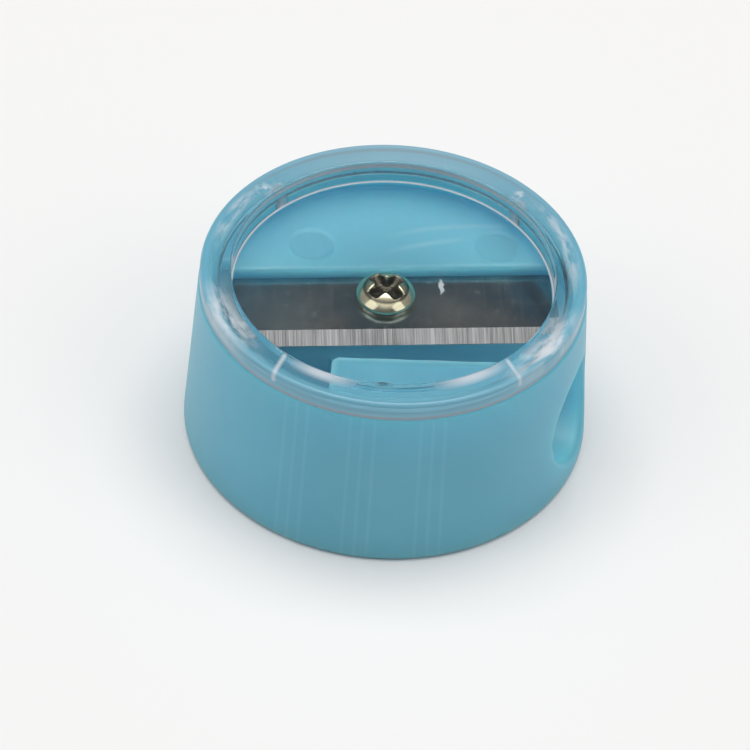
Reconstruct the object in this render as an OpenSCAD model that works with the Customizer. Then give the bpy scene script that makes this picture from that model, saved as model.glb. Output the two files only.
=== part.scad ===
// Round pocket pencil sharpener. A plastic drum has the sharpening block moulded into it, a steel blade is
// held down by one cross-head screw, and a clear plug lid closes the top.
// Units are millimetres and +Z is up. The origin is the centre of the base. The pencil goes in from +X,
// and the cutting edge faces -Y. A yaw is a direction seen from above, in degrees turned from +X.

/* [Drum] */
// radius at the base
drum_base_r = 15.35; // [14:0.05:17]
// radius at the top edge
drum_top_r = 14.4; // [13.5:0.05:16]
// height of the top edge
drum_height = 13.55; // [12:0.05:15]
// wall thickness at the top edge
wall = 1.05; // [0.8:0.05:1.5]
// thickness of the floor under the shavings chamber
floor_thickness = 1.2; // [0.8:0.1:2]

/* [Pencil hole] */
// radius of the bore that guides the pencil
bore_r = 4.1; // [3.8:0.05:4.3]
// angle between the cone's axis and its side
cone_half_angle = 10.9; // [9:0.1:13]
// yaw of the pencil's axis
axis_yaw = 0.8; // [-3:0.1:4]
// distance of the cone's tip from the drum's centre, towards -X
tip_distance = 11; // [9:0.5:12]

/* [Blade] */
// height of the blade's underside
seat_z = 9.55; // [9:0.05:11]
// thickness
blade_thickness = 0.6; // [0.4:0.05:0.8]
// length
blade_length = 24.8; // [23:0.1:25]
// width from the rear edge to the cutting edge
blade_width = 6.8; // [6:0.1:8]
// width of the ground bevel seen from above
bevel_width = 1.15; // [0.8:0.05:2]
// yaw of the blade's long side
blade_yaw = 6.7; // [0:0.1:10]
// distance of the blade's rear edge behind the drum's centre
blade_rear = 4.05; // [3:0.05:5]

/* [Block] */
// height of the deck behind the blade
deck_z = 11; // [10.4:0.1:12]
// height of the lip in front of the cutting edge
lip_z = 10.7; // [10:0.1:12]
// yaw of the lip's rear edge
lip_yaw = 3; // [0:0.1:8]
// distance of the lip's rear edge ahead of the drum's centre
lip_rear = 5.12; // [4:0.01:6]
// X position of the block's left face, with the shavings chamber beyond it
block_left = -4.1; // [-6:0.1:-3]

/* [Screw] */
// diameter of the head
head_d = 4.6; // [4:0.1:5]
// height of the head
head_height = 1.5; // [1:0.1:1.8]
// outside diameter of the thread
thread_d = 2.5; // [2:0.1:3]
// length of the screw below the head
screw_length = 6; // [4:0.5:7]

/* [Lid] */
// outside radius of the rim
lid_r = 14.3; // [13.5:0.05:15]
// height of the rim above the drum
rim_height = 1.5; // [1.2:0.05:2.5]
// radius of the recess with the window at its bottom
recess_r = 12; // [11:0.05:13]
// depth of the recess
recess_depth = 1.9; // [1:0.05:2.5]
// thickness of the window and of the plug's wall
lid_wall = 0.9; // [0.6:0.05:1.2]

/* [Hidden] */
$fn = 120;
cut = 0.05;
far = 40;

pocket_r = drum_top_r - wall;
wall_lean = atan((drum_base_r - drum_top_r) / drum_height);
base_round = 0.5;
top_round = 0.2;
foot_groove_r = 11.8;
foot_groove_width = 0.5;
foot_groove_depth = 0.25;

// The cutting edge is a straight line of the cone's side: the cone's tip lies on it, and the axis dips
// by the angle that keeps that line level.
edge_front = blade_width - blade_rear;
cone_tip = [-tip_distance, -tip_distance * tan(blade_yaw) - edge_front / cos(blade_yaw), seat_z];
axis_dip = acos(cos(cone_half_angle) / cos(blade_yaw - axis_yaw));
axis_direction = [
    cos(axis_dip) * cos(axis_yaw),
    cos(axis_dip) * sin(axis_yaw),
    -sin(axis_dip)
];
cone_length = bore_r / tan(cone_half_angle);

// The axis leaves the drum at the mouth, where it is mouth_r from the drum's centre line.
mouth_z = seat_z - (drum_base_r + tip_distance) * tan(axis_dip);
mouth_r = drum_base_r - mouth_z * tan(wall_lean);
mouth = cone_tip + reach(cone_tip, axis_direction, mouth_r) * axis_direction;
flare_depth = 0.9;
flare_lip = 0.35;

step_gap = 0.03;
step_round = 0.35;
blade_overhang = 0.5;
throat_bottom = 7.8;
throat_right = 11.6;
chamfer_width = 0.9;
chamfer_depth = 0.25;
lip_corner_r = 0.6;
mark_r = 1.65;
mark_depth = 0.12;
mark_positions = [[-6.3, 6.2], [7.75, 7.3]];

screw_position = [-0.48, 1.75];
shank_r = 1;
pilot_r = 1.05;
pilot_extra = 0.6;
thread_pitch = 0.8;
thread_first = 1.4;
thread_count = 5;
point_length = 0.8;
blade_hole_r = 1.5;
edge_land = 0.03;
head_side = 0.45;
cross_wing = 0.75;
cross_top_r = 1.6;
cross_bottom_r = 0.7;
cross_depth = 0.95;

lid_gap = 0.05;
rim_bottom = drum_height + lid_gap;
lid_top = rim_bottom + rim_height;
window_top = lid_top - recess_depth;
window_bottom = window_top - lid_wall;
plug_bottom = window_bottom;
rim_outer_round = 0.35;
rim_inner_round = 0.15;
rib_r = 0.7;
rib_clearance = 0.03;

drum();
blade();
screw();
lid();

// ---- drum ----

module drum() {
    color([0.4, 0.68, 0.79])
        difference() {
            drum_outside();
            top_pockets();
            step_edge();
            lip_chamfer();
            throat_and_chamber();
            pencil_hole();
            screw_pilot();
            ejector_marks();
            foot_groove();
        }
}

// How far a point travels along a direction before it is at a radius from the Z axis.
function reach(from, along, radius) =
    let (
        a = along[0] * along[0] + along[1] * along[1],
        b = from[0] * along[0] + from[1] * along[1],
        c = from[0] * from[0] + from[1] * from[1] - radius * radius
    )
    (sqrt(b * b - a * c) - b) / a;

// Centre of a circle that touches the drum's leaning wall from inside, at height z.
function inside_wall(r, z) = [drum_base_r - z * tan(wall_lean) - r / cos(wall_lean), z];

module drum_outside() {
    lean_out = [cos(wall_lean), sin(wall_lean)];
    base = inside_wall(base_round, base_round);
    top = inside_wall(top_round, drum_height - top_round);
    rotate_extrude() {
        polygon([
            [0, 0],
            [base[0], 0],
            base + base_round * lean_out,
            top + top_round * lean_out,
            [top[0], drum_height],
            [0, drum_height]
        ]);
        translate(base)
            circle(base_round);
        translate(top)
            circle(top_round);
    }
}

// A flat outline is cut down to a height, inside the drum's wall.
module cut_down_to(z) {
    translate([0, 0, z])
        linear_extrude(drum_height + 1 - z)
            intersection() {
                circle(pocket_r);
                children();
            }
}

// Everything ahead (-Y) of a line at a distance behind the drum's centre.
module ahead_of(yaw, distance) {
    rotate(yaw)
        translate([-far, distance - 2 * far])
            square(2 * far);
}

function lip_line_y(x, ahead) = x * tan(lip_yaw) - (lip_rear + ahead) / cos(lip_yaw);

// The lip from above: a straight rear edge, a straight left side and one rounded corner between them.
module lip_outline() {
    r = lip_corner_r;
    corner = [block_left + r, lip_line_y(block_left + r, r)];
    polygon([
        [block_left, -far],
        [far, -far],
        [far, lip_line_y(far, 0)],
        corner + r * [-sin(lip_yaw), cos(lip_yaw)],
        [block_left, corner[1]]
    ]);
    translate(corner)
        circle(r);
}

// Deck, lip and blade seat are three levels under one round pocket.
module top_pockets() {
    cut_down_to(deck_z)
        circle(far);
    cut_down_to(lip_z)
        ahead_of(blade_yaw, blade_rear + step_gap);
    cut_down_to(seat_z)
        difference() {
            ahead_of(blade_yaw, blade_rear + step_gap);
            lip_outline();
        }
}

// The throat opens the cone ahead of the cutting edge, and the shavings chamber is left of the block.
module throat_and_chamber() {
    cut_down_to(throat_bottom)
        open_front(throat_right);
    cut_down_to(floor_thickness)
        open_front(block_left);
}

module open_front(right) {
    difference() {
        ahead_of(blade_yaw, blade_overhang - edge_front);
        lip_outline();
        translate([right, -far])
            square(2 * far);
    }
}

// A section drawn as [distance behind the centre, height] is run along a line at a yaw.
module along_line(yaw, distance, z) {
    intersection() {
        cylinder(r = pocket_r, h = far);
        rotate([0, 0, yaw])
            translate([-far, distance, z])
                rotate([90, 0, 90])
                    linear_extrude(2 * far)
                        children();
    }
}

module step_edge() {
    along_line(blade_yaw, blade_rear + step_gap, deck_z - step_round)
        difference() {
            translate([-cut, 0])
                square(step_round + cut);
            translate([step_round, 0])
                circle(step_round);
        }
}

module lip_chamfer() {
    along_line(lip_yaw, -lip_rear, lip_z)
        polygon([
            [-chamfer_width, 0],
            [0, -chamfer_depth],
            [cut, -chamfer_depth],
            [cut, cut],
            [-chamfer_width, cut]
        ]);
}

// What is drawn along +Z lies along the pencil's axis, from the cone's tip to the mouth.
module along_pencil() {
    translate(cone_tip)
        rotate([0, 90 + axis_dip, axis_yaw])
            children();
}

module pencil_hole() {
    along_pencil() {
        cylinder(r1 = 0, r2 = bore_r, h = cone_length);
        translate([0, 0, cone_length - cut])
            cylinder(r = bore_r, h = far);
    }
    mouth_flare();
}

// The hole's edge is eased square to the wall, so that it is even all the way round.
module mouth_flare() {
    translate(mouth)
        rotate([0, 90 - wall_lean, atan2(mouth[1], mouth[0])])
            translate([0, 0, -flare_depth])
                cylinder(r1 = bore_r + flare_lip - flare_depth, r2 = bore_r + flare_lip + 1, h = flare_depth + 1);
}

module screw_pilot() {
    depth = screw_length - blade_thickness + pilot_extra;
    translate([screw_position[0], screw_position[1], seat_z - depth])
        cylinder(r = pilot_r, h = depth + cut);
}

module ejector_marks() {
    for (position = mark_positions)
        translate([position[0], position[1], deck_z - mark_depth])
            cylinder(r = mark_r, h = mark_depth + cut);
}

module foot_groove() {
    rotate_extrude()
        translate([foot_groove_r, -cut])
            square([foot_groove_width, foot_groove_depth + cut]);
}

// ---- blade ----

module blade() {
    color([0.45, 0.47, 0.5])
        difference() {
            rotate([0, 0, blade_yaw])
                translate([-blade_length / 2, blade_rear - blade_width, seat_z])
                    rotate([90, 0, 90])
                        linear_extrude(blade_length)
                            blade_section();
            rotate([0, 0, blade_yaw])
                translate([0, blade_screw_line(), seat_z - 1])
                    cylinder(r = blade_hole_r, h = blade_thickness + 2);
        }
}

// Distance of the screw behind the drum's centre, measured square to the blade.
function blade_screw_line() =
    screw_position[1] * cos(blade_yaw) - screw_position[0] * sin(blade_yaw);

// The section of the blade, with the cutting edge at the left and the ground bevel above it.
module blade_section() {
    polygon([
        [0, 0],
        [blade_width, 0],
        [blade_width, blade_thickness],
        [bevel_width, blade_thickness],
        [0, edge_land]
    ]);
}

// ---- screw ----

module screw() {
    color([0.8, 0.76, 0.66])
        translate([screw_position[0], screw_position[1], seat_z + blade_thickness])
            difference() {
                union() {
                    screw_head();
                    screw_thread();
                }
                cross_recess();
            }
}

// The dome is part of a ball through the head's side edge and its top.
module screw_head() {
    head_r = head_d / 2;
    rise = head_height - head_side;
    ball_r = (head_r * head_r + rise * rise) / (2 * rise);
    cylinder(r = head_r, h = head_side);
    intersection() {
        cylinder(r = head_r, h = head_height);
        translate([0, 0, head_height - ball_r])
            sphere(ball_r);
    }
}

module screw_thread() {
    rotate_extrude() {
        polygon([
            [0, cut],
            [shank_r, cut],
            [shank_r, point_length - screw_length],
            [0, -screw_length]
        ]);
        for (i = [0 : thread_count - 1])
            translate([0, -thread_first - i * thread_pitch])
                polygon([[0, 0.3], [shank_r, 0.3], [thread_d / 2, 0], [shank_r, -0.2], [0, -0.2]]);
    }
}

module cross_recess() {
    translate([0, 0, head_height - cross_depth])
        intersection() {
            cylinder(r1 = cross_bottom_r, r2 = cross_top_r, h = cross_depth + cut);
            for (angle = [45, 135])
                rotate([0, 0, angle])
                    translate([-head_d, -cross_wing / 2, 0])
                        cube([2 * head_d, cross_wing, cross_depth + 1]);
        }
}

// ---- lid ----

module lid() {
    color([0.85, 0.92, 0.95, 0.35])
        difference() {
            union() {
                rotate_extrude()
                    lid_section();
                crush_ribs();
            }
            translate([0, 0, window_top])
                cylinder(r = recess_r, h = recess_depth + 1);
        }
}

module lid_section() {
    translate([0, window_bottom])
        square([recess_r + cut, window_top - window_bottom]);
    translate([recess_r, plug_bottom])
        square([lid_wall, rim_bottom - plug_bottom + cut]);
    intersection() {
        translate([recess_r, rim_bottom])
            square([lid_r - recess_r, rim_height]);
        rim_section();
    }
}

module rim_section() {
    outer = [lid_r - rim_outer_round, lid_top - rim_outer_round];
    inner = [recess_r + rim_inner_round, lid_top - rim_inner_round];
    polygon([
        [recess_r, rim_bottom],
        [lid_r, rim_bottom],
        [lid_r, outer[1]],
        [outer[0], lid_top],
        [inner[0], lid_top],
        [recess_r, inner[1]]
    ]);
    translate(outer)
        circle(rim_outer_round);
    translate(inner)
        circle(rim_inner_round);
}

// Four half-round ribs centre the plug in the drum and grip it.
module crush_ribs() {
    for (angle = [45 : 90 : 315])
        rotate([0, 0, angle])
            translate([pocket_r - rib_clearance - rib_r, 0, plug_bottom])
                cylinder(r = rib_r, h = rim_bottom - plug_bottom + cut);
}
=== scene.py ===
"""Looks for the round pocket pencil sharpener: drum, clear lid, ground blade and plated screw."""
import functools
import math

import bpy
import numpy as np
import openvdb
from mathutils import Matrix, Vector

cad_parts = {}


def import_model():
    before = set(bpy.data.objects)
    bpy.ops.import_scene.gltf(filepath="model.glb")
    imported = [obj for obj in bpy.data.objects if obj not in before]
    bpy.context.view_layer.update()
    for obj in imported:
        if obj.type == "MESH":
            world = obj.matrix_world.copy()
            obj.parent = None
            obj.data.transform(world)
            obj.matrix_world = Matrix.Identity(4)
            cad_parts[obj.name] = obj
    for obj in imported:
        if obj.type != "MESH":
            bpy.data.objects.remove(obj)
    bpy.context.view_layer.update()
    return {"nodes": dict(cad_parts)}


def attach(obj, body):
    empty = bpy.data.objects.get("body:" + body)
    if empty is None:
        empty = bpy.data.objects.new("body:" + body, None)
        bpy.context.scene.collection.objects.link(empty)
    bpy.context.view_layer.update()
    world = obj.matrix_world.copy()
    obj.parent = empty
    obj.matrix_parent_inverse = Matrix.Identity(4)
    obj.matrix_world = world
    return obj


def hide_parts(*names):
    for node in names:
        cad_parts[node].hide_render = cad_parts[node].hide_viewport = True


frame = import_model()

MM = 0.001

# ---------------------------------------------------------------------------------------------
# Sizes in millimetres, as in part.scad
# ---------------------------------------------------------------------------------------------
BASE_R, TOP_R, DRUM_H = 15.35, 14.4, 13.55
POCKET_R = 13.35
FLOOR_Z, SEAT_Z, LIP_Z, DECK_Z = 1.2, 9.55, 10.7, 11.0
WALL_LEAN = math.atan((BASE_R - TOP_R) / DRUM_H)

BORE_R = 4.1
CONE_HALF = math.radians(10.9)
AXIS_YAW = math.radians(0.8)
TIP_DISTANCE = 11.0

BLADE_YAW = math.radians(6.7)
BLADE_REAR, BLADE_WIDTH, BLADE_THICK, BEVEL_WIDTH = 4.05, 6.8, 0.6, 1.15
EDGE_FRONT = BLADE_WIDTH - BLADE_REAR
STEP_LINE = BLADE_REAR + 0.03

LIP_YAW = math.radians(3.0)
LIP_REAR, LIP_LEFT = 5.12, -4.1
THROAT_Z, THROAT_RIGHT = 7.8, 11.6
LIP_SLOPE_COS, LIP_SLOPE_SIN = 0.963, 0.268
MARK_PLACES = (-6.3, 6.2), (7.75, 7.3)
MARK_R, MARK_DEPTH = 1.65, 0.1
GROOVE_R, GROOVE_HALF, GROOVE_DEPTH = 12.05, 0.25, 0.25
PILOT_R = 1.05

SCREW_X, SCREW_Y = -0.48, 1.75
HEAD_R, HEAD_H, HEAD_SIDE = 2.3, 1.5, 0.45
SCREW_LENGTH, SHANK_R, THREAD_R, THREAD_PITCH = 6.0, 1.0, 1.25, 0.8
CROSS_DEPTH, CROSS_REACH = 0.95, 1.7

LID_R, LID_TOP = 14.3, 15.1
RECESS_R, PLUG_R = 12.0, 12.9
WINDOW_TOP, WINDOW_BOTTOM = 13.2, 12.3
RIM_OUTER_ROUND, RIM_INNER_ROUND = 0.35, 0.15
# The pressed-down flange touches the drum, so its underside is a hair below the drum's top edge.
FLANGE_Z = DRUM_H - 0.01
RIB_R, RIB_REACH = 0.7, 13.32


# ---------------------------------------------------------------------------------------------
# Solids as distance fields: negative inside, positive outside
# ---------------------------------------------------------------------------------------------
def both(a, b, r=0.0):
    """Where both solids are, with the outer edge rounded to radius r."""
    if np.all(r == 0):
        return np.maximum(a, b)
    return np.minimum(-r, np.maximum(a, b)) + np.hypot(np.maximum(a + r, 0), np.maximum(b + r, 0))


def either(a, b, r=0.0):
    """Where either solid is, with the inner corner filled to radius r."""
    return -both(-a, -b, r)


def without(a, b, r=0.0):
    """Where only the first solid is, with the cut's edge rounded to radius r."""
    return both(a, -b, r)


def behind(x, y, yaw):
    """Distance behind the drum's centre, square to a line at that yaw."""
    return y * math.cos(yaw) - x * math.sin(yaw)


def pencil_hole(x, y, z):
    """The cone and the bore round the pencil's axis, from the cone's tip to beyond the wall."""
    tip_y = -TIP_DISTANCE * math.tan(BLADE_YAW) - EDGE_FRONT / math.cos(BLADE_YAW)
    dip = math.acos(math.cos(CONE_HALF) / math.cos(BLADE_YAW - AXIS_YAW))
    ax = math.cos(dip) * math.cos(AXIS_YAW)
    ay = math.cos(dip) * math.sin(AXIS_YAW)
    az = -math.sin(dip)
    px, py, pz = x + TIP_DISTANCE, y - tip_y, z - SEAT_Z
    along = px * ax + py * ay + pz * az
    away = np.sqrt(np.maximum(px * px + py * py + pz * pz - along * along, 1e-12))
    cone = away * math.cos(CONE_HALF) - along * math.sin(CONE_HALF)
    return np.maximum(cone, away - BORE_R)


def lip_block(x, y):
    """The lip's outline from above: a straight rear edge, a left side and a rounded corner."""
    rear = behind(x, y, LIP_YAW) + LIP_REAR
    return both(rear, LIP_LEFT - x, 0.6)


def drum_field(p):
    """The drum: a leaning wall, the stepped pocket in it, the pencil hole, the pilot hole and the groove."""
    x, y, z = p
    r = np.hypot(x, y)
    wall = (r - (BASE_R - z * math.tan(WALL_LEAN))) * math.cos(WALL_LEAN)
    body = both(both(wall, z - DRUM_H, 0.2), -z, 0.5)

    ahead_of_step = behind(x, y, BLADE_YAW) - STEP_LINE
    lip_side = lip_block(x, y)
    lip_chamfer = (z - LIP_Z) * LIP_SLOPE_COS + (lip_side + 0.9) * LIP_SLOPE_SIN
    lip = both(both(z - LIP_Z, lip_side, 0.08), lip_chamfer, 0.05)
    from_marks = np.minimum(*(np.hypot(x - a, y - b) for a, b in MARK_PLACES)) - MARK_R
    deck = DECK_Z - MARK_DEPTH * np.clip(0.5 - from_marks / 0.3, 0, 1)
    open_top = either(deck - z, both(SEAT_Z - z, ahead_of_step), 0.35)
    open_top = without(open_top, lip)

    front = np.maximum(behind(x, y, BLADE_YAW) + EDGE_FRONT - 0.5, -lip_side)
    throat = np.maximum(np.maximum(front, x - THROAT_RIGHT), THROAT_Z - z)
    chamber = np.maximum(both(front, x - LIP_LEFT, 0.3), FLOOR_Z - z)
    pocket = both(r - POCKET_R, np.minimum(open_top, np.minimum(throat, chamber)), 0.12)
    body = without(body, pocket, 0.12)

    # The hole's edge is crisp at the throat and well rounded where it leaves the wall.
    mouth_round = 0.06 + 0.4 * np.clip((x - 11.0) / 2.5, 0, 1)
    body = without(body, pencil_hole(x, y, z), mouth_round)

    pilot = np.maximum(np.hypot(x - SCREW_X, y - SCREW_Y) - PILOT_R, SEAT_Z - SCREW_LENGTH - z)
    body = without(body, pilot)
    groove = np.maximum(np.abs(r - GROOVE_R) - GROOVE_HALF, z - GROOVE_DEPTH)
    return without(body, groove, 0.08)


def screw_field(p):
    """The screw: a domed head with a cross recess, and a threaded shank that ends in a point."""
    x, y, z = p[0] - SCREW_X, p[1] - SCREW_Y, p[2] - SEAT_Z - BLADE_THICK
    r = np.hypot(x, y)
    rise = HEAD_H - HEAD_SIDE
    ball_r = (HEAD_R ** 2 + rise ** 2) / (2 * rise)
    ball = np.sqrt(r * r + (z - HEAD_H + ball_r) ** 2) - ball_r
    head = both(both(ball, r - HEAD_R, 0.12), -z, 0.08)

    turn = np.arctan2(y, x) / (2 * math.pi)
    phase = np.abs(((z / THREAD_PITCH - turn) % 1.0) - 0.5) * 2
    crest = np.clip(1 - phase * 1.6, 0, 1) * (THREAD_R - SHANK_R) * np.clip((-z - 1.0) / 0.6, 0, 1)
    point = np.clip((SCREW_LENGTH + z) / 1.0, 0, 1)
    shank = np.maximum((r - (SHANK_R + crest) * (0.35 + 0.65 * point)) * 0.7, -SCREW_LENGTH - z)
    shank = np.maximum(shank, z - 0.3)

    a, b = np.abs(x + y) * math.sqrt(0.5), np.abs(x - y) * math.sqrt(0.5)
    above_pit = z - HEAD_H + CROSS_DEPTH
    wing = 0.30 + 0.32 * np.clip(above_pit / CROSS_DEPTH, 0, 1)
    arms = both(a - wing, b - CROSS_REACH, 0.1), both(b - wing, a - CROSS_REACH, 0.1)
    cross = either(*arms, 0.22)
    taper = r - (0.9 + above_pit * 1.1)
    cross = both(both(cross, taper, 0.1), -above_pit, 0.1)
    return without(either(head, shank, 0.05), cross, 0.09)


def surface(name, field, low, high, step, rounds=4):
    """A closed mesh on the field's zero surface: found on a grid, then moved exactly onto it."""
    axes = [np.arange(a - 3 * step, b + 3 * step, step) for a, b in zip(low, high)]
    grid_points = np.meshgrid(*axes, indexing="ij")
    grid = openvdb.FloatGrid(1.0)
    grid.copyFromArray(field(grid_points).astype(np.float32))
    points, quads = grid.convertToQuads(isovalue=0.0)
    start = np.array([a[0] for a in axes])
    points = points.astype(np.float64) * step + start

    def slope(q, h=0.02):
        g = np.empty_like(q)
        for i in range(3):
            d = np.zeros(3)
            d[i] = h
            g[:, i] = (field((q + d).T) - field((q - d).T)) / (2 * h)
        return g

    for _ in range(rounds):
        g = slope(points)
        size = np.maximum((g * g).sum(1), 0.05)
        move = -(field(points.T) / size)[:, None] * g
        length = np.linalg.norm(move, axis=1, keepdims=True)
        points += move * np.minimum(1, 0.4 * step / np.maximum(length, 1e-9))
    normals = slope(points, 0.03)
    normals /= np.maximum(np.linalg.norm(normals, axis=1, keepdims=True), 1e-9)

    a, b, c = (points[quads[:, i]] for i in range(3))
    facing = (np.cross(b - a, c - a) * normals[quads[:, 0]]).sum(1)
    if facing.sum() < 0:
        quads = quads[:, ::-1]
    return mesh_object(name, points * MM, quads, normals)


def mesh_object(name, points, faces, normals=None):
    """A smooth-shaded object in the scene, with its own normals if they are given."""
    mesh = bpy.data.meshes.new(name)
    mesh.from_pydata(points.tolist(), [], [list(map(int, f)) for f in faces])
    mesh.validate()
    mesh.shade_smooth()
    if normals is not None and len(normals) == len(mesh.vertices):
        mesh.normals_split_custom_set_from_vertices(normals.tolist())
    made = bpy.data.objects.new(name, mesh)
    bpy.context.scene.collection.objects.link(made)
    return made


# ---------------------------------------------------------------------------------------------
# The clear lid is turned from one closed profile, and its plug wall swells out at the ribs
# ---------------------------------------------------------------------------------------------
def arc(cx, cz, r, start, end, count):
    """Points along an arc of the section, from one angle to another in degrees."""
    angles = np.radians(np.linspace(start, end, count))
    return [(cx + r * math.cos(t), cz + r * math.sin(t)) for t in angles]


def corner(cx, cz, r, start, end):
    """A rounded corner, with a point close by on either side that keeps the faces beside it flat."""
    t0, t1 = math.radians(start), math.radians(end)
    turn = 1 if end > start else -1
    guard = 0.03 * turn
    first = (cx + r * math.cos(t0) + guard * math.sin(t0), cz + r * math.sin(t0) - guard * math.cos(t0))
    last = (cx + r * math.cos(t1) - guard * math.sin(t1), cz + r * math.sin(t1) + guard * math.cos(t1))
    return [first] + arc(cx, cz, r, start, end, 9) + [last]


def lid_profile():
    """Radius and height round the lid's section, from the window's underside out, up and in."""
    outer, inner, foot, flange = RIM_OUTER_ROUND, RIM_INNER_ROUND, 0.18, 0.2
    points = [(r, WINDOW_BOTTOM) for r in np.linspace(0.0, RECESS_R, 14)]
    points += corner(PLUG_R - 0.15, WINDOW_BOTTOM + 0.15, 0.15, 270, 360)
    points += corner(PLUG_R + 0.12, FLANGE_Z - 0.12, 0.12, 180, 90)
    points += [(13.4, FLANGE_Z), (13.7, FLANGE_Z)]
    points += corner(LID_R - flange, FLANGE_Z + flange, flange, 270, 360)
    points += corner(LID_R - outer, LID_TOP - outer, outer, 0, 90)
    points += [(13.3, LID_TOP), (12.6, LID_TOP)]
    points += corner(RECESS_R + inner, LID_TOP - inner, inner, 90, 180)
    points += [(RECESS_R, 14.5), (RECESS_R, 13.9)]
    points += corner(RECESS_R - foot, WINDOW_TOP + foot, foot, 0, -90)
    points += [(r, WINDOW_TOP) for r in np.linspace(RECESS_R - 0.6, 0.0, 14)]
    return points


def lid_object():
    """The profile turned round the axis. The plug swells at the ribs, and the gate left a mark in front."""
    profile = lid_profile()
    turns = 720
    angles = np.linspace(0, 2 * math.pi, turns, endpoint=False)
    from_rib = np.degrees(angles) % 90 - 45
    aside = np.radians(from_rib) * PLUG_R
    centre = RIB_REACH - RIB_R
    swell = np.where(np.abs(aside) < RIB_R, centre + np.sqrt(np.maximum(RIB_R ** 2 - aside ** 2, 0)), 0)
    gate = 0.16 * np.exp(-((np.degrees(angles) - 269) / 3.2) ** 2)
    rings = []
    points = []
    for r, z in profile:
        if r < 1e-9:
            rings.append([len(points)])
            points.append((0, 0, z))
            continue
        ring_r = np.full(turns, r)
        if z < FLANGE_Z - 0.02 and PLUG_R - 0.16 < r < PLUG_R + 0.13:
            ring_r = np.maximum(ring_r, swell - (PLUG_R - min(r, PLUG_R)))
        if z > LID_TOP - 0.4 and r < RECESS_R + 0.2:
            ring_r = ring_r - gate
        rings.append(list(range(len(points), len(points) + turns)))
        points += list(zip(ring_r * np.cos(angles), ring_r * np.sin(angles), np.full(turns, z)))
    faces = []
    for low, high in zip(rings, rings[1:]):
        for j in range(turns):
            k = (j + 1) % turns
            if len(low) == 1:
                faces.append((low[0], high[k], high[j]))
            elif len(high) == 1:
                faces.append((low[j], low[k], high[0]))
            else:
                faces.append((low[j], low[k], high[k], high[j]))
    return mesh_object("clear_lid", np.array(points) * MM, faces)


# ---------------------------------------------------------------------------------------------
# Materials
# ---------------------------------------------------------------------------------------------
class Nodes:
    """The node tree of a material or a world, with short calls to add and join nodes."""

    def __init__(self, owner, output="ShaderNodeOutputMaterial"):
        self.owner = owner
        owner.use_nodes = True
        self.tree = owner.node_tree
        self.tree.nodes.clear()
        self.output = self.tree.nodes.new(output)

    def add(self, kind, inputs=None, **settings):
        node = self.tree.nodes.new(kind)
        for key, value in settings.items():
            setattr(node, key, value)
        for key, value in (inputs or {}).items():
            self.put(node.inputs[key], value)
        return node

    def put(self, socket, value):
        """Join a socket or a node's first output to an input, or set a plain value on it."""
        if isinstance(value, bpy.types.NodeSocket):
            self.tree.links.new(value, socket)
        elif isinstance(value, bpy.types.Node):
            self.tree.links.new(value.outputs[0], socket)
        else:
            socket.default_value = value

    def position(self):
        return self.add("ShaderNodeTexCoord").outputs["Object"]

    def math(self, operation, a, b=0.0):
        node = self.add("ShaderNodeMath", operation=operation)
        for socket, value in zip(node.inputs, (a, b)):
            self.put(socket, value)
        return node.outputs[0]

    def noise(self, vector, scale, detail=3.0, roughness=0.5, stretch=None):
        if stretch:
            vector = self.add("ShaderNodeMapping", {"Vector": vector, "Scale": stretch}).outputs[0]
        return self.add(
            "ShaderNodeTexNoise",
            {"Vector": vector, "Scale": scale, "Detail": detail, "Roughness": roughness},
        ).outputs[0]

    def between(self, value, low, high, to_low=0.0, to_high=1.0, smooth=False):
        """One number where the value is low and another where it is high, with a slope between."""
        node = self.add(
            "ShaderNodeMapRange",
            {"Value": value, "From Min": low, "From Max": high, "To Min": to_low, "To Max": to_high},
            interpolation_type="SMOOTHSTEP" if smooth else "LINEAR",
        )
        return node.outputs[0]

    def mix(self, share, a, b):
        """One colour over another."""
        node = self.add("ShaderNodeMix", data_type="RGBA")
        self.put(node.inputs[0], share)
        self.put(node.inputs[6], a)
        self.put(node.inputs[7], b)
        return node.outputs[2]

    def bump(self, height, strength, distance):
        return self.add(
            "ShaderNodeBump", {"Height": height, "Strength": strength, "Distance": distance}
        ).outputs[0]

    def layer(self, share, under, over):
        """One shader over another."""
        node = self.add("ShaderNodeMixShader")
        for socket, value in zip(node.inputs, (share, under, over)):
            self.put(socket, value)
        return node

    def times(self, *values):
        """All the values multiplied, so a mask is left where every mask is."""
        return functools.reduce(lambda a, b: self.math("MULTIPLY", a, b), values)

    def most(self, *values):
        """The largest of the values, so a mask is left where any mask is."""
        return functools.reduce(lambda a, b: self.math("MAXIMUM", a, b), values)

    def radius(self, x, y):
        """Distance from a point to the origin in a plane."""
        return self.math("SQRT", self.math("ADD", self.times(x, x), self.times(y, y)))

    def near(self, value, centre, reach):
        """1 where a value is at the centre, falling smoothly to 0 at the reach."""
        away = self.math("ABSOLUTE", self.math("SUBTRACT", value, centre))
        return self.between(away, 0.0, reach, 1.0, 0.0, smooth=True)

    def finish(self, shader):
        self.put(self.output.inputs[0], shader)
        return self.owner


def new_material(name):
    return Nodes(bpy.data.materials.new(name))


def wall_lines(n, x, y):
    """Three groups of faint upright lines on the drum's front wall."""
    azimuth = n.math("ARCTAN2", y, x)
    lines = 0.0
    for group in (-115.6, -95.8, -75.6):
        for step in (-3.5, 0.0, 3.5):
            line = n.near(azimuth, math.radians(group + step), math.radians(0.75))
            lines = n.math("ADD", lines, line)
    return n.math("MULTIPLY", lines, n.between(n.radius(x, y), 14.2 * MM, 14.4 * MM))


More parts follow.
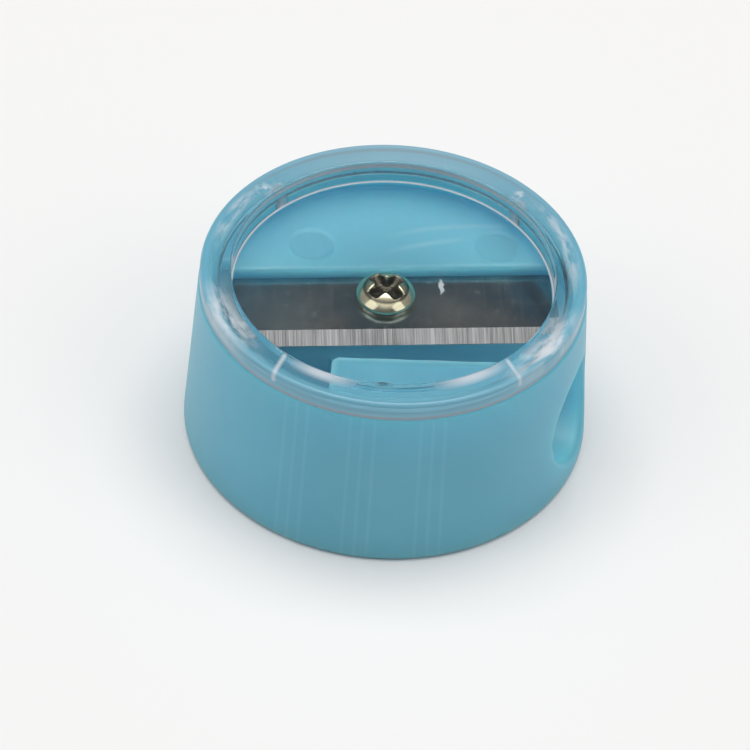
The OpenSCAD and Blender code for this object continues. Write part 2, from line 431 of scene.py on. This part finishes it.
def flow_marks(n, x, y, z):
    """Two faint pale curves left on the deck where the plastic flowed round."""
    marks = 0.0
    for cx, cy, r, left, right in ((8.3, -12.5, 22.1, -1.5, 9.5), (11.5, -20.0, 28.6, -1.8, 6.2)):
        away = n.radius(n.math("SUBTRACT", x, cx * MM), n.math("SUBTRACT", y, cy * MM))
        share = n.between(x, left * MM, (left + 4) * MM, smooth=True)
        share = n.math("MULTIPLY", share, n.between(x, right * MM, (right - 2.5) * MM, smooth=True))
        mark = n.near(away, r * MM, 0.45 * MM)
        marks = n.math("ADD", marks, n.math("MULTIPLY", mark, share))
    return n.math("MULTIPLY", marks, n.near(z, DECK_Z * MM, 0.3 * MM))


def painted_pocket_light(n, x, y, z):
    """Painted light: how much lighter the pocket and the pencil hole are painted, standing in for light
    soaking through the plastic.
    """
    r = n.radius(x, y)
    from_foot = n.math("ADD", r, n.math("MULTIPLY", z, math.tan(WALL_LEAN)))
    under_skin = n.between(from_foot, (BASE_R - 0.25) * MM, (BASE_R - 0.6) * MM)
    inside = n.math("MULTIPLY", under_skin, n.between(z, 1.0 * MM, 1.15 * MM))
    deck_rim = n.math("MULTIPLY", n.near(z, DECK_Z * MM, 0.3 * MM), n.between(r, 5 * MM, 10.5 * MM, 0, 0.8))
    step = n.math("MULTIPLY", n.between(z, 10.95 * MM, 10.8 * MM), n.between(y, -3 * MM, -2 * MM))
    below = n.between(z, (LIP_Z - 0.08) * MM, (LIP_Z - 0.2) * MM)
    wall = n.math(
        "MULTIPLY",
        n.between(z, (DECK_Z + 0.05) * MM, (DECK_Z + 0.3) * MM),
        n.between(z, (DRUM_H - 0.02) * MM, (DRUM_H - 0.1) * MM),
    )
    lit = n.math("MAXIMUM", n.math("MAXIMUM", deck_rim, step), n.math("MAXIMUM", below, wall))
    return n.math("MULTIPLY", inside, lit)


def blue_plastic():
    n = new_material("blue_plastic")
    pos = n.position()
    x, y, z = n.add("ShaderNodeSeparateXYZ", {"Vector": pos}).outputs
    cloud = n.noise(pos, 160, 3)
    colour = n.mix(n.between(cloud, 0.35, 0.65), (0.122, 0.428, 0.556, 1), (0.134, 0.450, 0.580, 1))
    # Painted light: the pocket and the pencil hole painted a lighter blue.
    colour = n.mix(painted_pocket_light(n, x, y, z), colour, (0.21, 0.61, 0.76, 1))
    pale = (0.36, 0.66, 0.76, 1)
    colour = n.mix(n.math("MULTIPLY", wall_lines(n, x, y), 0.13), colour, pale)
    colour = n.mix(n.math("MULTIPLY", flow_marks(n, x, y, z), 0.45), colour, pale)
    grain = n.noise(pos, 2500, 3)
    shader = n.add(
        "ShaderNodeBsdfPrincipled",
        {
            "Base Color": colour,
            "Roughness": n.between(cloud, 0.3, 0.7, 0.34, 0.42),
            "IOR": 1.49,
            "Subsurface Weight": 0.85,
            "Subsurface Radius": (0.6, 1.0, 1.15),
            "Subsurface Scale": 0.0035,
            "Normal": n.bump(grain, 0.12, 0.00002),
        },
    )
    return n.finish(shader)


def band(n, value, low, high, soft):
    """1 between two heights or radii, with soft ends."""
    up = n.between(value, (low - soft) * MM, low * MM, smooth=True)
    down = n.between(value, high * MM, (high + soft) * MM, 1.0, 0.0, smooth=True)
    return n.math("MULTIPLY", up, down)


def line_mask(n, x, y, start, end, reach):
    """1 on the straight line through two points seen from above, in millimetres, and soft beside it."""
    dx, dy = end[0] - start[0], end[1] - start[1]
    length = math.hypot(dx, dy)
    from_x = n.times(n.math("SUBTRACT", x, start[0] * MM), dy / length)
    from_y = n.times(n.math("SUBTRACT", y, start[1] * MM), dx / length)
    across = n.math("SUBTRACT", from_x, from_y)
    same_side = n.math("GREATER_THAN", n.times(x, start[0]), 0.0)
    return n.times(n.near(across, 0.0, reach * MM), same_side)


class LidPlaces:
    """Masks that say where a point on the lid lies."""

    def __init__(self, n):
        self.n = n
        self.pos = n.position()
        self.x, self.y, self.z = n.add("ShaderNodeSeparateXYZ", {"Vector": self.pos}).outputs
        self.r = n.radius(self.x, self.y)
        self.azimuth = n.math("ARCTAN2", self.y, self.x)
        self.off_window = n.between(self.r, RECESS_R * MM, (RECESS_R + 0.2) * MM)
        self.on_top = n.between(self.z, (LID_TOP - 0.1) * MM, (LID_TOP - 0.04) * MM)
        self.rim_top = n.times(self.on_top, self.off_window)
        self.outer = n.between(self.r, (LID_R - 1.0) * MM, (LID_R - 0.1) * MM, smooth=True)

    def around(self, *spans):
        """1 at each azimuth, falling to 0 at its reach on either side, in degrees."""
        masks = [self.n.near(self.azimuth, math.radians(at), math.radians(reach)) for at, reach in spans]
        return self.n.most(*masks)


def painted_lid_highlights(n, at):
    """How white each place is painted: painted highlights on the front of the rim, along its inner front
    edge, on the ribs and in the window's corner, painted glints over the rim's front edge, white streaks at
    the rear sides and a whiter rear rim.
    """
    along_rim = n.add("ShaderNodeCombineXYZ", {"X": n.times(at.azimuth, 0.0035), "Y": at.r}).outputs[0]
    streaks = n.between(n.noise(along_rim, 1300, 4, 0.6), 0.33, 0.60, smooth=True)
    sparkle = n.between(n.noise(at.pos, 1700, 3), 0.40, 0.58)
    above_seam = n.between(at.z, 14.0 * MM, 14.3 * MM)
    # Painted highlight: streaked white on the front of the rim, at either side.
    front_highlight_streaks = n.times(
        above_seam,
        at.off_window,
        at.around((-152, 22), (-32, 24)),
        n.near(at.r, 13.6 * MM, 1.6 * MM),
        streaks,
    )
    # Painted highlight: white along the rim's inner front edge.
    inner_edge_highlight = n.times(at.rim_top, at.around((-112, 16), (-60, 18)), n.near(at.r, 12.4 * MM, 0.9 * MM))
    side_streaks = n.times(
        at.rim_top, at.around((157, 22), (18, 34)), n.near(at.r, 13.3 * MM, 0.75 * MM), streaks
    )
    # Painted highlight: white patches where the rear ribs show through the rim.
    rear_rib_highlights = n.times(
        at.rim_top, at.around((142, 4.5), (46, 4.0)), n.near(at.r, 12.9 * MM, 1.1 * MM), sparkle
    )
    # The rear half of the rim top a little whiter.
    rear_rim_whitening = n.times(at.rim_top, at.around((90, 85)))
    # Painted glints: white lines across the front rim and over its edge.
    glints = n.times(
        n.most(
            line_mask(n, at.x, at.y, (-7.33, -9.73), (-8.17, -12.11), 0.3),
            line_mask(n, at.x, at.y, (8.75, -9.17), (9.90, -11.15), 0.3),
        ),
        n.between(at.z, 14.2 * MM, 14.5 * MM),
        n.between(at.r, RECESS_R * MM, (RECESS_R + 0.4) * MM),
    )
    # Painted highlight: white on the faces of the four ribs.
    rib_face_highlights = n.times(
        at.around((-135, 4), (-45, 4), (45, 4), (135, 4)),
        n.between(at.r, (PLUG_R - 0.1) * MM, (PLUG_R + 0.02) * MM),
        n.between(at.z, DRUM_H * MM, (DRUM_H - 0.05) * MM),
    )
    # Painted highlight: a white line in the corner where the window meets the recess wall.
    window_corner_highlight = n.times(
        band(n, at.z, WINDOW_TOP + 0.02, WINDOW_TOP + 0.1, 0.02),
        band(n, at.r, RECESS_R - 0.16, RECESS_R + 0.02, 0.02),
    )
    return n.most(
        n.times(front_highlight_streaks, 0.85),
        n.times(inner_edge_highlight, 0.7),
        n.times(side_streaks, 0.6),
        n.times(rear_rib_highlights, 0.65),
        n.times(rear_rim_whitening, 0.2),
        n.times(glints, 0.6),
        n.times(rib_face_highlights, 0.75),
        n.times(window_corner_highlight, 0.85),
    )


def painted_rim_blue(n, at, smudge):
    """Painted see-through: the drum's blue that shows through the thick rim, painted onto a diffuse layer,
    painted grey shade in the seam, and how strong it is.
    """
    outside = n.mix(smudge, (0.17, 0.46, 0.62, 1), (0.22, 0.54, 0.70, 1))
    colour = n.mix(at.rim_top, outside, (0.15, 0.43, 0.57, 1))
    # Painted shade: grey in the seam where the lid meets the drum.
    seam = n.times(n.between(at.z, 14.0 * MM, 13.9 * MM), at.outer)
    colour = n.mix(seam, colour, (0.30, 0.33, 0.38, 1))

    over_blade = n.times(at.around((0, 22)), n.between(at.r, 13.5 * MM, 13.2 * MM))
    rim = n.times(at.rim_top, n.between(over_blade, 0.0, 1.0, 0.34, 0.08))
    inner_wall = n.times(
        at.around((90, 110)),
        n.between(at.r, (RECESS_R + 0.1) * MM, (RECESS_R + 0.02) * MM),
        n.between(at.z, (WINDOW_TOP + 0.15) * MM, (WINDOW_TOP + 0.3) * MM),
    )
    share = n.math("ADD", rim, n.times(inner_wall, 0.35))
    share = n.math("ADD", share, n.times(at.outer, 0.8))
    return colour, n.math("MINIMUM", share, 0.85)


def clear_plastic():
    """Clear in the window. Over the thick rim, a diffuse layer painted with the drum's blue seen through it,
    and white painted highlights, some streaked.
    """
    n = new_material("clear_plastic")
    at = LidPlaces(n)
    smudge = n.noise(at.pos, 220, 4)
    glass = n.add(
        "ShaderNodeBsdfPrincipled",
        {
            "Base Color": (0.97, 0.99, 1.0, 1),
            "Roughness": n.times(at.rim_top, n.between(smudge, 0.4, 0.75, 0.02, 0.06)),
            "IOR": 1.52,
            "Transmission Weight": 1.0,
        },
    )
    painted_blue, painted_blue_share = painted_rim_blue(n, at, smudge)
    # A diffuse layer over the glass, painted with the drum's blue that shows through the rim.
    painted_blue_haze = n.add("ShaderNodeBsdfPrincipled", {"Base Color": painted_blue, "Roughness": 0.3})
    # The white of the painted highlights.
    white = n.add("ShaderNodeBsdfPrincipled", {"Base Color": (0.74, 0.76, 0.80, 1), "Roughness": 0.4})
    plastic = n.layer(painted_blue_share, glass, painted_blue_haze)
    # Painted highlights in white over the rim.
    plastic = n.layer(painted_lid_highlights(n, at), plastic, white)
    # Most of the lamps' light passes straight through the lid, as through a thin clean window.
    to_lamp = n.add("ShaderNodeLightPath").outputs["Is Shadow Ray"]
    open_to_lamps = n.add("ShaderNodeBsdfTransparent", {"Color": (0.6, 0.6, 0.6, 1)})
    return n.finish(n.layer(to_lamp, plastic, open_to_lamps))


def blade_steel():
    n = new_material("blade_steel")
    pos = n.position()
    turned = n.add("ShaderNodeMapping", {"Vector": pos, "Rotation": (0, 0, -BLADE_YAW)}).outputs[0]
    along, across, _ = n.add("ShaderNodeSeparateXYZ", {"Vector": turned}).outputs
    bevel = n.math("LESS_THAN", across, (BEVEL_WIDTH - EDGE_FRONT) * MM)

    smudge = n.noise(pos, 130, 4, 0.55)
    dust = n.between(n.noise(pos, 1500, 2, 0.5), 0.66, 0.74)
    hairlines = n.noise(turned, 1500, 3, 0.6, stretch=(1.8, 0.10, 1.0))
    # Painted reflection: the flat's steel is painted dark and bluish, mottled by smudges.
    flat = n.mix(n.between(smudge, 0.3, 0.7), (0.11, 0.19, 0.24, 1), (0.42, 0.38, 0.35, 1))
    # Painted reflection: bluer towards the blade's left end.
    flat = n.mix(n.between(along, -3.5 * MM, -10 * MM, 0, 0.55, smooth=True), flat, (0.22, 0.36, 0.42, 1))
    flat = n.mix(n.between(hairlines, 0.55, 0.8, 0, 0.35), flat, (0.46, 0.47, 0.49, 1))
    flat = n.mix(n.math("MULTIPLY", dust, 0.4), flat, (0.55, 0.58, 0.6, 1))
    wander = n.between(n.noise(pos, 1400, 2), 0.3, 0.7, -0.12, 0.12)
    nick_x = n.near(n.math("ADD", along, n.math("MULTIPLY", wander, MM)), 4.0 * MM, 0.22 * MM)
    nick = n.math("MULTIPLY", nick_x, n.near(across, 2.9 * MM, 1.2 * MM))

    lines = n.noise(turned, 1500, 3, 0.7, stretch=(6.5, 0.10, 0.10))
    broad = n.noise(turned, 260, 2, 0.5, stretch=(2.0, 0.10, 0.10))
    streak = n.math("ADD", n.math("MULTIPLY", lines, 0.75), n.math("MULTIPLY", broad, 0.25))
    ground = n.mix(n.between(streak, 0.36, 0.62), (0.09, 0.09, 0.09, 1), (0.30, 0.295, 0.29, 1))
    steel = n.add(
        "ShaderNodeBsdfPrincipled",
        {
            "Base Color": n.mix(bevel, flat, ground),
            "Metallic": 1.0,
            "Roughness": n.between(bevel, 0.0, 1.0, n.between(smudge, 0.3, 0.7, 0.18, 0.24), 0.29),
            "Normal": n.bump(n.math("MULTIPLY", bevel, lines), 0.08, 0.00002),
        },
    )
    scuff = n.add("ShaderNodeBsdfPrincipled", {"Base Color": (0.62, 0.66, 0.68, 1), "Roughness": 0.6})
    return n.finish(n.layer(n.between(nick, 0.1, 0.5, 0, 0.9), steel, scuff))


def screw_nickel():
    n = new_material("screw_nickel")
    pos = n.position()
    x, y, z = n.add("ShaderNodeSeparateXYZ", {"Vector": pos}).outputs
    mottle = n.noise(pos, 900, 4)
    bright = n.mix(mottle, (0.62, 0.56, 0.37, 1), (0.76, 0.70, 0.50, 1))
    from_axis = n.radius(n.math("SUBTRACT", x, SCREW_X * MM), n.math("SUBTRACT", y, SCREW_Y * MM))
    head_top = SEAT_Z + BLADE_THICK + HEAD_H
    # Painted shade: the bottom of the cross recess is painted nearly black.
    painted_recess_shade = n.math(
        "MULTIPLY",
        n.between(z, (head_top - 0.25) * MM, (head_top - 0.5) * MM),
        n.between(from_axis, 1.8 * MM, 1.65 * MM),
    )
    shader = n.add(
        "ShaderNodeBsdfPrincipled",
        {
            "Base Color": n.mix(n.math("MULTIPLY", painted_recess_shade, 0.9), bright, (0.04, 0.035, 0.03, 1)),
            "Metallic": 1.0,
            "Roughness": n.between(mottle, 0.3, 0.7, 0.10, 0.18),
            "Normal": n.bump(mottle, 0.08, 0.00002),
        },
    )
    return n.finish(shader)


# ---------------------------------------------------------------------------------------------
# The pieces
# ---------------------------------------------------------------------------------------------
drum = surface("drum_body", drum_field, (-15.4, -15.4, 0), (15.4, 15.4, DRUM_H), 0.2)
drum.data.materials.append(blue_plastic())
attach(drum, "sharpener")
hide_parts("drum")

screw_low = (SCREW_X - HEAD_R, SCREW_Y - HEAD_R, 4.1)
screw_high = (SCREW_X + HEAD_R, SCREW_Y + HEAD_R, 11.7)
screw = surface("cross_screw", screw_field, screw_low, screw_high, 0.06)
screw.data.materials.append(screw_nickel())
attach(screw, "sharpener")
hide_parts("screw")

lid = lid_object()
lid.data.materials.append(clear_plastic())
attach(lid, "cover")
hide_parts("lid")

blade = frame["nodes"]["blade"]
blade.data.materials.clear()
blade.data.materials.append(blade_steel())

# ---------------------------------------------------------------------------------------------
# Floor, light and camera
# ---------------------------------------------------------------------------------------------
def floor():
    bpy.ops.mesh.primitive_plane_add(size=3.0, location=(0, 0, 0))
    made = bpy.context.object
    made.name = "floor"
    n = new_material("floor_paper")
    shader = n.add("ShaderNodeBsdfPrincipled", {"Base Color": (0.90, 0.90, 0.90, 1), "Roughness": 0.9})
    made.data.materials.append(n.finish(shader))


def softbox(name, place, size, power, aim=(0, 0, 0.008)):
    """A rectangular light aimed at the object's middle."""
    data = bpy.data.lights.new(name, "AREA")
    data.shape = "RECTANGLE"
    data.size, data.size_y = size
    data.energy = power
    lamp = bpy.data.objects.new(name, data)
    bpy.context.scene.collection.objects.link(lamp)
    lamp.location = place
    lamp.rotation_euler = (Vector(aim) - Vector(place)).to_track_quat("-Z", "Y").to_euler()


def world():
    """A light tent: bright overhead, weaker at both sides, and dim elsewhere."""
    made = bpy.data.worlds.new("studio")
    bpy.context.scene.world = made
    n = Nodes(made, "ShaderNodeOutputWorld")
    split = n.add("ShaderNodeSeparateXYZ", {"Vector": n.add("ShaderNodeTexCoord").outputs["Generated"]})
    x, _, z = split.outputs
    top = n.between(z, 0.74, 0.92, 0, 1.0, smooth=True)
    side = n.between(n.math("ABSOLUTE", x), 0.35, 0.80, 0, 0.3, smooth=True)
    level = n.math("ADD", n.math("ADD", top, side), 0.14)
    n.finish(n.add("ShaderNodeBackground", {"Color": (1.0, 0.98, 0.97, 1), "Strength": level}))


def camera():
    """A long lens that looks down at the lid from the front, a little rolled. Angles are in radians."""
    elevation, roll, distance = 0.7416, 0.0681, 0.26
    aim_left, aim_down = 0.00537, 0.02995
    right = Vector((1, 0, 0))
    ahead = Vector((0, math.cos(elevation), -math.sin(elevation)))
    up = Vector((0, math.sin(elevation), math.cos(elevation)))
    rolled_right = right * math.cos(roll) + up * math.sin(roll)
    rolled_up = up * math.cos(roll) - right * math.sin(roll)
    look = (ahead - aim_left * rolled_right - aim_down * rolled_up).normalized()
    side = look.cross(rolled_up).normalized()
    data = bpy.data.cameras.new("camera")
    data.lens = 169.3
    data.sensor_width = 36
    data.clip_start = 0.01
    made = bpy.data.objects.new("camera", data)
    bpy.context.scene.collection.objects.link(made)
    turn = Matrix((side, side.cross(look), -look)).transposed().to_4x4()
    made.matrix_world = Matrix.Translation(Vector((0, 0, LID_TOP * MM)) - ahead * distance) @ turn
    bpy.context.scene.camera = made


floor()
# Each box: name, place, width and height, and power.
softbox("overhead", (0.0, 0.14, 0.66), (0.6, 0.35), 1.95)
softbox("front_left", (-0.42, -0.22, 0.45), (0.35, 0.35), 0.45)
softbox("front_right", (0.42, -0.22, 0.45), (0.35, 0.35), 0.45)
world()
camera()
scene = bpy.context.scene
scene.view_settings.view_transform = "Standard"
